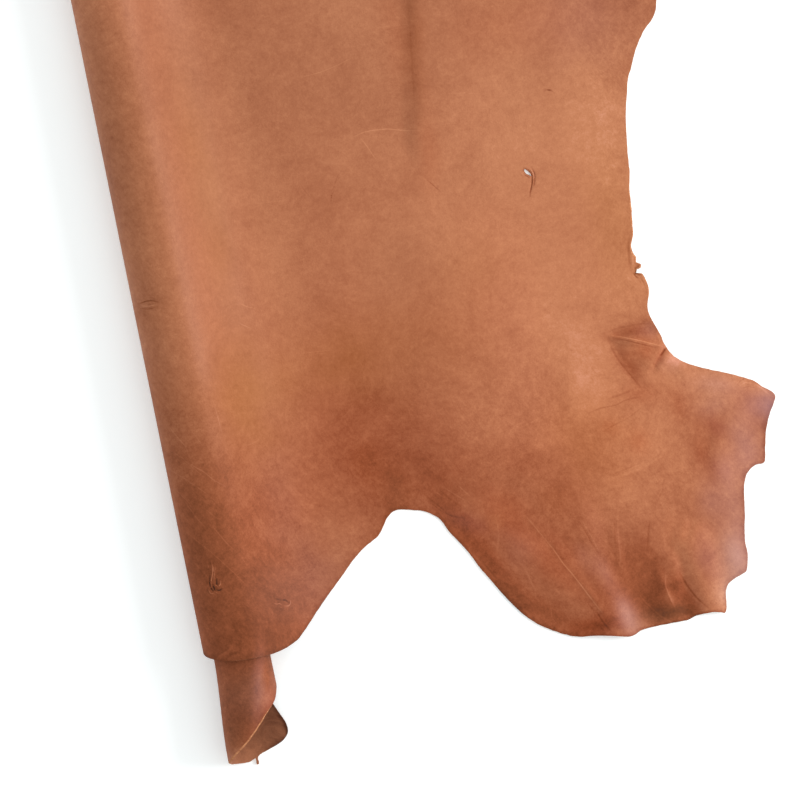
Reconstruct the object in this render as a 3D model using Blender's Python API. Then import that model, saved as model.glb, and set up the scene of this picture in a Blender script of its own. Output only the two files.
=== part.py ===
"""A tanned cowhide side lying grain up, its backbone edge rolled under.

The side is cut flat from its outline, then carried over the roll without
stretching. X runs across the hide from the roll to the belly edge, Y along
the backbone from the neck to the butt, Z up from the surface it lies on.
"""
import math

import bpy
import numpy as np

MM = 0.001

# the leather
THICKNESS = 2.2
MIDDLE_ACROSS = 402.5
MIDDLE_ALONG = 915.5

# the roll at the neck end, as a cross-section of the middle of the leather
FOOT = 190.0
TOP_ACROSS = 50.0
TOP_HEIGHT = 74.0
OUTER_LEFT = 44.0
INNER_CENTRE = 57.0
INNER_RIGHT = 22.5
INNER_HEIGHT = 66.0
INNER_LEFT = 34.5
LAYER_GAP = 4.4

# the roll gets smaller towards the butt
NECK_END = -30.0
BUTT_END = 1975.0
SHRINK = 0.12

# the inner turn splays out where the outer turn ends
SPLAY_FROM = 0.0
SPLAY_TO = -135.0
SPLAY_LEFT = 11.0
EDGE_OUT = 7.0
EDGE_FLAT = 0.75

# spacing of the mesh: across it on the roll and on the flat part, and along it
# at the leg, at the shoulder and behind
ROLL_STEP = 15.5
FLAT_STEP = 28.0
LEG_STEP = 24.0
LEG_END = 300.0
SHOULDER_STEP = 46.0
SHOULDER_END = 760.0
HIND_STEP = 95.0

# flat outline as (across, along) in mm, from the flank down the belly edge
BELLY = (
    (742, 900), (738, 800), (728, 728), (716, 689), (693, 655), (679, 635),
    (668, 614), (658, 587), (647, 540), (640, 484), (635, 444), (630, 414),
    (624, 391), (627, 376), (631, 368), (624, 362), (632, 352), (634, 334),
    (629, 308), (634, 289), (640, 267), (647, 251),
)
FRONT_LEG = (
    (669, 234), (713, 214), (740, 200), (759, 184), (763, 176), (744, 137),
    (734, 96), (722, 94), (708, 86), (701, 66), (697, 41), (691, 11),
    (690, -10), (686, -30), (671, -37), (658, -44), (653, -55), (650, -76),
    (640, -76), (612, -74), (601, -77), (558, -77), (528, -83), (485, -74),
    (459, -70), (439, -61), (418, -47), (398, -28), (381, -2),
)
THROAT = (
    (321, 107), (304, 122), (286, 127), (272, 129), (257, 122), (243, 103),
    (198, 72), (178, 54), (122, 4), (100, -9), (60, -15), (18, -15),
    (-16, -8), (-38, 3),
)
NECK = (
    (-70, -6), (-111, -24), (-150, -44), (-185, -68), (-215, -91),
    (-236, -109), (-262, -127), (-285, -140), (-301, -144), (-322, -141),
    (-342, -132), (-357, -123), (-365, -112), (-362, -98), (-350, -76),
    (-338, -40),
)
BUTT = (
    (-298, 1968), (-240, 1975), (-60, 1972), (120, 1975), (300, 1966),
    (420, 1950), (520, 1922), (590, 1880), (634, 1820), (660, 1752),
)
HIND_LEG = (
    (690, 1702), (742, 1652), (790, 1600), (806, 1560), (800, 1512),
    (776, 1470), (748, 1420), (728, 1350), (716, 1270), (714, 1190),
    (722, 1100), (734, 1000),
)

# a hole torn through the leather, as (across, along) in mm
HOLE = ((507, 519), (510, 521), (515, 517), (520, 511), (518, 509), (513, 513))

# soft folds of the lying part: crest from one end to the other in mm, its
# height, and how far it runs out towards the roll and towards the belly
FOLD_FIELDS = ("across_1", "along_1", "across_2", "along_2",
               "height", "roll_side", "belly_side")
FOLDS = (
    (428, 960, 406, 540, 6.0, 24.0, 110.0),
    (402, 400, 398, 215, 11.0, 130.0, 110.0),
    (398, 215, 440, 70, 10.0, 100.0, 90.0),
    (440, 70, 508, -60, 9.0, 100.0, 45.0),
    (597, -5, 588, -65, 5.0, 38.0, 16.0),
    (622, 20, 634, -72, 7.0, 28.0, 34.0),
    (704, 195, 688, 112, 6.0, 36.0, 45.0),
    (604, 276, 630, 258, 8.0, 30.0, 24.0),
)


def smooth_step(low, high, value):
    """Rise from 0 at low to 1 at high without a kink."""
    part = np.clip((value - low) / (high - low), 0.0, 1.0)
    return part * part * (3.0 - 2.0 * part)


def arc(centre, half_width, half_height, start, end):
    """Points of an ellipse between two angles in degrees."""
    angles = np.radians(np.linspace(start, end, 181))
    across = centre[0] + half_width * np.cos(angles)
    height = centre[1] + half_height * np.sin(angles)
    return np.column_stack((across, height))


def roll_path():
    """Cross-section of the roll from its foot to the free edge inside it."""
    part = np.linspace(0.0, 1.0, 181)[:, None]
    corners = np.array(((FOOT, 0.0), (100.0, 0.0), (92.0, TOP_HEIGHT),
                        (TOP_ACROSS, TOP_HEIGHT)))
    ramp = ((1 - part) ** 3 * corners[0] + 3 * (1 - part) ** 2 * part * corners[1]
            + 3 * (1 - part) * part ** 2 * corners[2] + part ** 3 * corners[3])
    outer_left = arc((OUTER_LEFT, TOP_HEIGHT / 2), OUTER_LEFT, TOP_HEIGHT / 2, 90, 270)
    inner_right = arc((INNER_CENTRE, INNER_HEIGHT / 2), INNER_RIGHT, INNER_HEIGHT / 2,
                      -90, 90)
    inner_half = (INNER_HEIGHT - LAYER_GAP) / 2
    inner_left = arc((OUTER_LEFT + 2.0, LAYER_GAP + inner_half), INNER_LEFT, inner_half,
                     90, 270)
    tail = arc((INNER_CENTRE, INNER_HEIGHT / 2), INNER_RIGHT - LAYER_GAP,
               INNER_HEIGHT / 2 - LAYER_GAP, -90, 0)
    path = np.vstack((ramp, outer_left, inner_right, inner_left, tail))
    steps = np.hypot(*np.diff(path, axis=0).T)
    return path, np.concatenate(((0.0,), np.cumsum(steps)))


def fold_height(across, along):
    """Height of the soft folds above the surface."""
    total = np.zeros_like(across)
    for values in FOLDS:
        fold = dict(zip(FOLD_FIELDS, values))
        start = np.array((fold["across_1"], fold["along_1"]))
        crest = np.array((fold["across_2"], fold["along_2"])) - start
        length = math.hypot(*crest)
        crest = crest / length
        side_across = across - start[0]
        side_along = along - start[1]
        on_crest = side_across * crest[0] + side_along * crest[1]
        off_crest = side_along * crest[0] - side_across * crest[1]
        to_belly = off_crest * (1.0 if crest[1] < 0 else -1.0) > 0
        reach = np.where(to_belly, fold["belly_side"], fold["roll_side"])
        past = np.maximum(np.maximum(-on_crest, on_crest - length), 0.0)
        ease = (fold["belly_side"] + fold["roll_side"]) / 2
        bump = 1.0 - np.minimum(np.hypot(off_crest / reach, past / ease), 1.0) ** 2
        total = np.maximum(total, fold["height"] * bump ** 2)
    return total


def lay_down(flat):
    """Carry points of the flat leather to where they lie, in mm."""
    across, along, above = flat.T
    path, lengths = roll_path()
    size = 1.0 - SHRINK * (along - NECK_END) / (BUTT_END - NECK_END)
    gone = FOOT - across / size
    on_roll = gone > 0.0
    place_across = np.interp(gone, lengths, path[:, 0])
    place_height = np.interp(gone, lengths, path[:, 1])
    slope_across = np.gradient(path[:, 0], lengths)
    slope_height = np.gradient(path[:, 1], lengths)
    way_across = np.interp(gone, lengths, slope_across)
    way_height = np.interp(gone, lengths, slope_height)
    way = np.hypot(way_across, way_height)
    out_across = np.where(on_roll, way_height / way, 0.0)
    out_height = np.where(on_roll, -way_across / way, 1.0)
    x = np.where(on_roll, place_across * size, across)
    z = np.where(on_roll, place_height * size, 0.0)

    # the inner turn splays to the left and settles on the surface
    splay = smooth_step(SPLAY_FROM, SPLAY_TO, along)
    inner = smooth_step(375.0, 440.0, gone) * smooth_step(560.0, 500.0, gone)
    x = x - SPLAY_LEFT * splay * inner
    z = z - LAYER_GAP * splay * smooth_step(430.0, 520.0, gone)

    # the free edge inside the roll opens out flat where it shows
    open_out = smooth_step(-50.0, -105.0, along) * smooth_step(515.0, 550.0, gone)
    x = x + EDGE_OUT * open_out
    z = z * (1.0 - EDGE_FLAT * open_out)

    off_middle = above - THICKNESS / 2
    x = x + off_middle * out_across
    z = z + THICKNESS / 2 + off_middle * out_height
    z = z + np.where(on_roll, 0.0, fold_height(across, along))
    return np.column_stack((x - MIDDLE_ACROSS, along - MIDDLE_ALONG, z))


def steps_between(start, end, step):
    """Evenly spaced values from start to end, about one step apart."""
    return list(np.linspace(start, end, round((end - start) / step) + 1))


def new_object(name, points, faces, collection):
    """A mesh object in metres from points in mm."""
    mesh = bpy.data.meshes.new(name)
    mesh.from_pydata([tuple(c * MM for c in point) for point in points], [], faces)
    result = bpy.data.objects.new(name, mesh)
    collection.objects.link(result)
    return result


def make_slab(collection):
    """A flat sheet larger than the outline, meshed fine where it will bend."""
    columns = steps_between(-372.0, FOOT, ROLL_STEP)
    columns += steps_between(FOOT, 830.0, FLAT_STEP)[1:]
    rows = steps_between(-160.0, LEG_END, LEG_STEP)
    rows += steps_between(LEG_END, SHOULDER_END, SHOULDER_STEP)[1:]
    rows += steps_between(SHOULDER_END, 1990.0, HIND_STEP)[1:]
    wide, long = len(columns), len(rows)
    layer = wide * long
    points = [(x, y, z) for z in (0.0, THICKNESS) for y in rows for x in columns]
    faces = []
    for row in range(long - 1):
        for column in range(wide - 1):
            corner = row * wide + column
            quad = (corner, corner + 1, corner + wide + 1, corner + wide)
            faces.append(quad[::-1])
            faces.append(tuple(index + layer for index in quad))
    edge = [column for column in range(wide)]
    edge += [row * wide + wide - 1 for row in range(1, long)]
    edge += [(long - 1) * wide + column for column in range(wide - 2, -1, -1)]
    edge += [row * wide for row in range(long - 2, 0, -1)]
    for first, second in zip(edge, edge[1:] + edge[:1]):
        faces.append((first, second, second + layer, first + layer))
    return new_object("leather_side", points, faces, collection)


def make_cutter(name, outline, collection):
    """An upright prism over an outline, through the slab."""
    area = sum(a[0] * b[1] - b[0] * a[1] for a, b in zip(outline, outline[1:] + outline[:1]))
    around = outline if area > 0 else outline[::-1]
    count = len(around)
    points = [(x, y, z) for z in (-20.0, 20.0) for x, y in around]
    faces = [tuple(range(count))[::-1], tuple(range(count, 2 * count))]
    for index in range(count):
        after = (index + 1) % count
        faces.append((index, after, after + count, index + count))
    cutter = new_object(name, points, faces, collection)
    cutter.hide_render = True
    cutter.display_type = "WIRE"
    return cutter


def cut(target, cutter, operation):
    """Apply one exact Boolean to the target."""
    boolean = target.modifiers.new(cutter.name, "BOOLEAN")
    boolean.object = cutter
    boolean.operation = operation
    boolean.solver = "EXACT"
    bpy.context.view_layer.objects.active = target
    bpy.ops.object.modifier_apply(modifier=boolean.name)


def add_material(target, name, colour, roughness):
    """A Principled material in the next slot of the target."""
    material = bpy.data.materials.new(name)
    material.use_nodes = True
    shader = material.node_tree.nodes["Principled BSDF"]
    shader.inputs["Base Color"].default_value = (*colour, 1.0)
    shader.inputs["Roughness"].default_value = roughness
    target.data.materials.append(material)


for old in list(bpy.data.objects):
    bpy.data.objects.remove(old, do_unlink=True)
parts = bpy.data.collections.new("leather_side")
cutters = bpy.data.collections.new("cutters")
bpy.context.scene.collection.children.link(parts)
bpy.context.scene.collection.children.link(cutters)

# leather side, cut flat
side = make_slab(parts)
outline = list(BELLY + FRONT_LEG + THROAT + NECK + BUTT + HIND_LEG)
cut(side, make_cutter("outline_cutter", outline, cutters), "INTERSECT")
cut(side, make_cutter("hole_cutter", list(HOLE), cutters), "DIFFERENCE")

# triangles, so that no face is bent by the roll
triangulate = side.modifiers.new("triangles", "TRIANGULATE")
triangulate.quad_method = "SHORTEST_DIAGONAL"
bpy.context.view_layer.objects.active = side
bpy.ops.object.modifier_apply(modifier=triangulate.name)

# grain above, flesh below, raw edge around
side.data.materials.clear()
add_material(side, "waxed_grain_tan", (0.480, 0.174, 0.084), 0.45)
add_material(side, "flesh_side_brown", (0.195, 0.070, 0.033), 0.90)
add_material(side, "raw_cut_edge", (0.560, 0.230, 0.110), 0.75)
for face in side.data.polygons:
    heights = [side.data.vertices[index].co.z / MM for index in face.vertices]
    if min(heights) > THICKNESS - 0.01:
        face.material_index = 0
    elif max(heights) < 0.01:
        face.material_index = 1
    else:
        face.material_index = 2

# then laid down with its backbone edge rolled under
flat_points = np.empty(len(side.data.vertices) * 3)
side.data.vertices.foreach_get("co", flat_points)
laid = lay_down(flat_points.reshape(-1, 3) / MM) * MM
side.data.vertices.foreach_set("co", laid.ravel())
side.data.update()
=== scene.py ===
"""A waxed cowhide side lying grain up on a pale floor, its backbone edge rolled under."""
import math

import bpy
import numpy as np
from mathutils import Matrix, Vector, geometry


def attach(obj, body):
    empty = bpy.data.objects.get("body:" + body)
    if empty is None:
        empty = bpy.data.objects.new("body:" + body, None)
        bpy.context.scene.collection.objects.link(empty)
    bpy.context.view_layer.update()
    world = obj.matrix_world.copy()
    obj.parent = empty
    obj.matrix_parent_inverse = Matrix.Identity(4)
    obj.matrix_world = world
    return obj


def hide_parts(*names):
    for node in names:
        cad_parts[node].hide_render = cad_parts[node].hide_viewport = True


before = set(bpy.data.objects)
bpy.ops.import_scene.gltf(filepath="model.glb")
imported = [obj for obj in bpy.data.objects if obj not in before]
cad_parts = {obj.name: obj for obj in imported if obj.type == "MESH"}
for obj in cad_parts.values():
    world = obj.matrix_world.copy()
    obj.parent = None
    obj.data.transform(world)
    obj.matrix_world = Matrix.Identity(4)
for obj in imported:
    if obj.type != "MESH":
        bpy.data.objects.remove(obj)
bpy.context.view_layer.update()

# leather side
# One half of a cowhide, cut along the backbone, vegetable tanned, drum dyed tan
# and hot stuffed with wax. It lies grain up, and its backbone edge is rolled
# under, two turns, so that the neck end shows a loose scroll.

MM = 0.001
THICKNESS = 2.2
MIDDLE_ACROSS = 402.5
MIDDLE_ALONG = 915.5

# the trimmed outline of the flat hide, as (across, along) in mm: the belly
# edge from the flank down to the front leg, with its tear
BELLY_EDGE = (
    (742, 900), (738, 800), (728, 728), (716, 690), (712, 677), (707, 669),
    (701, 663), (695.5, 658.5), (689.5, 651.5), (683.5, 643), (678, 634),
    (672, 622), (668, 613), (662, 602), (658, 588), (651, 562), (647, 540),
    (643, 512), (640, 484), (636, 466), (634, 444), (631, 422), (629, 408),
    (624, 396), (624, 388), (627, 380), (626, 374), (631, 371), (630, 366),
    (625, 365), (623, 361), (630, 359), (633, 352), (635, 340), (634, 333),
    (629, 318), (629, 307), (633, 293), (638, 278), (640, 267), (647, 252),
)
FRONT_LEG = (
    (657, 242), (669, 234), (690, 224), (713, 214), (729, 206), (741, 199),
    (750, 190), (760, 182), (763, 177), (762, 172), (752, 155), (744, 138),
    (738, 115), (734, 98), (731, 96), (722, 96), (714, 92), (708, 86),
    (703, 74), (700, 60), (697, 41), (692, 18), (690, 5), (690, -10),
    (686, -28), (684, -32), (671, -37), (659, -43), (654, -52), (652, -64),
    (650, -74), (647, -78), (643, -76), (632, -74), (612, -74), (601, -77),
    (580, -77), (557, -77), (541, -78), (534, -81), (528, -83), (519, -82),
    (508, -79), (486, -74), (460, -70), (440, -61), (418, -47), (404, -34),
    (393, -20), (381, -1), (360, 36), (345, 66),
)
THROAT = (
    (330, 90), (322, 107), (313, 116), (303, 122), (286, 127), (273, 130),
    (264, 128), (256, 121), (249, 111), (242, 103), (233, 98), (222, 92),
    (206, 80), (190, 65), (178, 54), (150, 28), (133, 12), (122, 3),
    (112, -4), (98, -9), (80, -13), (60, -15), (36, -15), (14, -14),
    (-10, -9), (-28, -3), (-44, 2),
)
NECK_EDGE = (
    (-70, -6), (-111, -24), (-150, -44), (-174, -60), (-187, -72.5), (-202, -85),
    (-213, -98), (-223, -109.5), (-234, -120), (-247, -129), (-262, -136.5),
    (-276, -139.5), (-300, -141.5), (-313, -142), (-318, -140.5), (-321.3, -139),
    (-321.9, -147), (-324.4, -147), (-324.8, -138), (-333, -133), (-344, -128),
    (-356, -121), (-363, -112), (-361, -103), (-355, -91), (-350, -76),
    (-341, -55), (-338, -36),
)
BUTT_EDGE = (
    (-318, 970), (-298, 1966), (-290, 1972), (-240, 1975), (-60, 1972),
    (120, 1975), (300, 1966), (420, 1950), (520, 1922), (590, 1880),
    (634, 1820), (660, 1752),
)
HIND_LEG = (
    (690, 1702), (742, 1652), (790, 1600), (806, 1560), (800, 1512),
    (776, 1470), (748, 1420), (728, 1350), (716, 1270), (714, 1190),
    (722, 1100), (734, 1000),
)

# a slit torn by wire: the part that stands open
SLIT = (
    (511.7, 515.7), (513.5, 515.1), (516.2, 511.9), (518.2, 508.8), (519.0, 505.8),
    (517.6, 506.2), (516.2, 507.9), (513.8, 509.1), (512.2, 511.7), (511.3, 514.2),
)

# across the roll, in the middle of the leather, at the neck end
FOOT = 190.0
RAMP_FOOT = 100.0
RAMP_TOP = 92.0
TOP_ACROSS = 50.0
TOP_HEIGHT = 74.0
OUTER_LEFT = 44.0
INNER_CENTRE = 57.0
INNER_RIGHT = 22.5
INNER_HEIGHT = 66.0
INNER_LEFT = 34.5
LAYER_GAP = 4.4
NECK_END = -30.0
BUTT_END = 1975.0
SHRINK = 0.12

# the inner turn splays out at the neck end and its free edge opens: how far, then
# from where to where along the hide and along the cross-section from its foot
SPLAY_LEFT = 8.0
EDGE_OUT = 8.5
EDGE_FLAT = 0.75
SPLAYING = (0.0, -135.0)
OPENING = (-50.0, -105.0)
INNER_TURN = (375.0, 440.0)
INNER_TURN_PAST = (560.0, 500.0)
SETTLING = (430.0, 520.0)
FREE_EDGE = (515.0, 550.0)

# the part that lies, and the throat's edge, which stays down
LYING = (60.0, 200.0)
THROAT_LINE = ((316.0, 132.0), (440.0, -62.0))
THROAT_REACH = 34.0
THROAT_SETTLED = 0.9

# soft folds where the hide doesn't quite lie down: crest from one end to the
# other in mm, its height, and its reach towards the roll and the belly edge
FOLD_FIELDS = ("across_1", "along_1", "across_2", "along_2",
               "height", "roll_side", "belly_side")
FOLDS = (
    (450, 900, 398, 600, 5.5, 26.0, 110.0),
    (402, 400, 398, 215, 11.0, 130.0, 110.0),
    (398, 215, 440, 70, 10.0, 100.0, 90.0),
    (440, 70, 508, -60, 9.0, 100.0, 45.0),
    (597, -5, 588, -65, 3.5, 34.0, 14.0),
    (622, 20, 634, -72, 7.0, 28.0, 34.0),
    (704, 195, 688, 112, 2.5, 40.0, 45.0),
    (604, 276, 630, 258, 5.0, 30.0, 24.0),
)


def smooth_step(low, high, value):
    """Rise from 0 at low to 1 at high without a kink."""
    part = np.clip((value - low) / (high - low), 0.0, 1.0)
    return part * part * (3.0 - 2.0 * part)


def arc(centre, half_width, half_height, start, end):
    """Points of an ellipse between two angles in degrees."""
    angles = np.radians(np.linspace(start, end, 181))
    across = centre[0] + half_width * np.cos(angles)
    height = centre[1] + half_height * np.sin(angles)
    return np.column_stack((across, height))


def roll_path():
    """Cross-section of the roll from its foot to the free edge inside it."""
    part = np.linspace(0.0, 1.0, 181)[:, None]
    corners = np.array(((FOOT, 0.0), (RAMP_FOOT, 0.0), (RAMP_TOP, TOP_HEIGHT),
                        (TOP_ACROSS, TOP_HEIGHT)))
    ramp = ((1 - part) ** 3 * corners[0] + 3 * (1 - part) ** 2 * part * corners[1]
            + 3 * (1 - part) * part ** 2 * corners[2] + part ** 3 * corners[3])
    outer_left = arc((OUTER_LEFT, TOP_HEIGHT / 2), OUTER_LEFT, TOP_HEIGHT / 2, 90, 270)
    inner_right = arc((INNER_CENTRE, INNER_HEIGHT / 2), INNER_RIGHT, INNER_HEIGHT / 2,
                      -90, 90)
    inner_half = (INNER_HEIGHT - LAYER_GAP) / 2
    inner_left = arc((OUTER_LEFT + 2.0, LAYER_GAP + inner_half), INNER_LEFT, inner_half,
                     90, 270)
    tail = arc((INNER_CENTRE, INNER_HEIGHT / 2), INNER_RIGHT - LAYER_GAP,
               INNER_HEIGHT / 2 - LAYER_GAP, -90, 0)
    path = np.vstack((ramp, outer_left, inner_right, inner_left, tail))
    steps = np.hypot(*np.diff(path, axis=0).T)
    kept = np.concatenate(((True,), steps > 1e-6))
    return path[kept], np.concatenate(((0.0,), np.cumsum(steps)))[kept]


def along_crest(across, along, fold):
    """Distance off a fold's crest, past its ends, and which side, in mm."""
    start = np.array((fold["across_1"], fold["along_1"]))
    crest = np.array((fold["across_2"], fold["along_2"])) - start
    length = math.hypot(*crest)
    crest = crest / length
    side_across = across - start[0]
    side_along = along - start[1]
    on_crest = side_across * crest[0] + side_along * crest[1]
    off_crest = side_along * crest[0] - side_across * crest[1]
    to_belly = off_crest * (1.0 if crest[1] < 0 else -1.0) > 0
    past = np.maximum(np.maximum(-on_crest, on_crest - length), 0.0)
    return off_crest, past, to_belly


def fold_height(across, along):
    """Height of the soft folds above the surface."""
    total = np.zeros_like(across)
    for values in FOLDS:
        fold = dict(zip(FOLD_FIELDS, values))
        off_crest, past, to_belly = along_crest(across, along, fold)
        reach = np.where(to_belly, fold["belly_side"], fold["roll_side"])
        ease = (fold["belly_side"] + fold["roll_side"]) / 2
        bump = 1.0 - np.minimum(np.hypot(off_crest / reach, past / ease), 1.0) ** 2
        total = np.maximum(total, fold["height"] * bump ** 2)
    return total


# creases and dents in the leather itself, with the same fields: a ridge has a
# height above 0 and a trough below it
CREASES = (
    # the popped dent behind the leg
    (580, 287, 634, 267, 2.2, 5.0, 2.6),
    (573, 298, 575, 272, -0.8, 6.0, 4.0),
    (575, 272, 600, 222, -0.9, 6.0, 4.0),
    (640, 261, 623, 241, -1.8, 4.0, 4.0),
    (612, 262, 612, 254, 1.6, 16.0, 12.0),
    (646, 246, 652, 238, 1.8, 9.0, 12.0),
    # waves in the leg
    (500, 66, 508, 0, 2.0, 16.0, 12.0),
    (508, 0, 514, -72, 4.0, 26.0, 22.0),
    (577, -14, 583, -52, 1.6, 5.0, 4.0),
    (590, 64, 572, 22, -1.8, 4.5, 5.0),
    (635, 54, 621, 30, -1.6, 4.5, 6.0),
    (532, 46, 533, -4, 1.0, 5.0, 4.0),
    (436, 84, 456, 50, 1.0, 4.0, 3.0),
    (456, 50, 498, -44, 1.2, 4.0, 3.0),
    (690, 166, 696, 146, -0.8, 16.0, 14.0),
    (662, 132, 656, 108, -1.0, 12.0, 12.0),
    # a sharper line at the foot of the long soft fold
    (412, 760, 392, 620, -1.0, 9.0, 8.0),
)


def crease_height(across, along):
    """Ridges above 0 and troughs below it, each fading out past its ends."""
    total = np.zeros_like(across)
    for values in CREASES:
        crease = dict(zip(FOLD_FIELDS, values))
        off_crest, past, to_belly = along_crest(across, along, crease)
        reach = np.where(to_belly, crease["belly_side"], crease["roll_side"])
        ease = crease["belly_side"] + crease["roll_side"]
        total += crease["height"] * np.exp(-(off_crest / reach) ** 2 - (past / ease) ** 2)
    return total


def slow_waves(across, along, seed, size):
    """Smooth uneven rise and fall between about -1 and 1, over a size in mm."""
    numbers = np.random.default_rng(seed)
    total = np.zeros_like(across)
    for _ in range(12):
        turn = numbers.uniform(0.0, 2.0 * math.pi)
        shift = numbers.uniform(0.0, 2.0 * math.pi)
        length = size * numbers.uniform(0.7, 1.6)
        way = across * math.cos(turn) + along * math.sin(turn)
        total += np.sin(way * 2.0 * math.pi / length + shift)
    return total / 4.0


def roll_size(along):
    """The roll gets a little tighter towards the butt."""
    return 1.0 - SHRINK * (along - NECK_END) / (BUTT_END - NECK_END)


def lay_down(flat, lift):
    """Carry points of the flat leather, lift mm off its middle, to where they lie."""
    across, along = flat.T
    path, lengths = roll_path()
    size = roll_size(along)
    gone = FOOT - across / size
    on_roll = gone > 0.0
    way = np.gradient(path, lengths, axis=0)
    way /= np.hypot(*way.T)[:, None]
    x = np.where(on_roll, np.interp(gone, lengths, path[:, 0]) * size
                 + np.interp(gone, lengths, way[:, 1]) * lift, across)
    z = np.where(on_roll, np.interp(gone, lengths, path[:, 1]) * size
                 - np.interp(gone, lengths, way[:, 0]) * lift, lift)

    # the inner turn splays to the left and settles on the surface
    splay = smooth_step(*SPLAYING, along)
    inner = smooth_step(*INNER_TURN, gone) * smooth_step(*INNER_TURN_PAST, gone)
    x = x - SPLAY_LEFT * splay * inner
    z = z - LAYER_GAP * splay * smooth_step(*SETTLING, gone)

    # the free edge inside the roll opens out flat where it shows
    open_out = smooth_step(*OPENING, along) * smooth_step(*FREE_EDGE, gone)
    x = x + EDGE_OUT * open_out
    z = z * (1.0 - EDGE_FLAT * open_out)

    # folds and creases of the part that lies; the throat's edge stays down
    lying = smooth_step(*LYING, across)
    start, finish = np.array(THROAT_LINE)
    run = finish - start
    part = np.clip(((flat - start) @ run) / (run @ run), 0.0, 1.0)
    off_edge = np.hypot(*(flat - start - part[:, None] * run).T)
    settled = 1.0 - THROAT_SETTLED * np.exp(-(off_edge / THROAT_REACH) ** 2)
    z = z + lying * np.maximum(settled * fold_height(across, along)
                               + crease_height(across, along), 0.0)
    return np.column_stack((x - MIDDLE_ACROSS, along - MIDDLE_ALONG,
                            z + THICKNESS / 2))


def on_the_flat(seen):
    """Where on the flat leather a point lies that is seen from above."""
    across, along = np.array(seen, float).T
    path, lengths = roll_path()
    leftmost = int(np.argmin(path[:, 0]))
    size = roll_size(along)
    gone = np.interp(across / size, path[leftmost::-1, 0], lengths[leftmost::-1])
    rolled = across / size < FOOT
    return np.column_stack((np.where(rolled, size * (FOOT - gone), across), along))


def curved(outline, step):
    """A closed curve through the outline's points, with a point every step."""
    corners = np.array(outline, float)
    before, after = np.roll(corners, 1, axis=0), np.roll(corners, -1, axis=0)
    beyond = np.roll(corners, -2, axis=0)
    points = []
    for a, b, c, d in zip(before, corners, after, beyond):
        count = max(1, round(math.dist(b, c) / step))
        reach = math.dist(b, c)
        way_in = (c - a) / max(math.dist(a, c), 1e-6) * reach
        way_out = (d - b) / max(math.dist(b, d), 1e-6) * reach
        for part in np.arange(count) / count:
            points.append((2 * part ** 3 - 3 * part ** 2 + 1) * b
                          + (part ** 3 - 2 * part ** 2 + part) * way_in
                          + (3 * part ** 2 - 2 * part ** 3) * c
                          + (part ** 3 - part ** 2) * way_out)
    return np.array(points)


def ragged(points, amount):
    """The knife's and the tear's small unevenness, at right angles to the edge."""
    way = np.roll(points, -1, axis=0) - np.roll(points, 1, axis=0)
    way /= np.hypot(*way.T)[:, None]
    off = (0.5 * slow_waves(points[:, 0], points[:, 1], 5, 26.0)
           + slow_waves(points[:, 0], points[:, 1], 6, 9.0))
    return points + (amount * off)[:, None] * np.column_stack((way[:, 1], -way[:, 0]))


def inside(points, outline):
    """Which points lie inside a closed outline."""
    found = np.zeros(len(points), bool)
    for (x1, y1), (x2, y2) in zip(outline, np.roll(outline, -1, axis=0)):
        if y1 == y2:
            continue
        crosses = (points[:, 1] > min(y1, y2)) & (points[:, 1] <= max(y1, y2))
        at = x1 + (points[:, 1] - y1) * (x2 - x1) / (y2 - y1)
        found ^= crosses & (points[:, 0] < at)
    return found


def spread_points(left, right, low, high, across_step, along_step):
    """Rows of points, every other row set over by half a step."""
    rows = np.arange(low, high, along_step)
    columns = np.arange(left, right, across_step)
    across, along = np.meshgrid(columns, rows)
    across = across + (np.arange(len(rows)) % 2)[:, None] * across_step / 2
    return np.column_stack((across.ravel(), along.ravel()))


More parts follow.
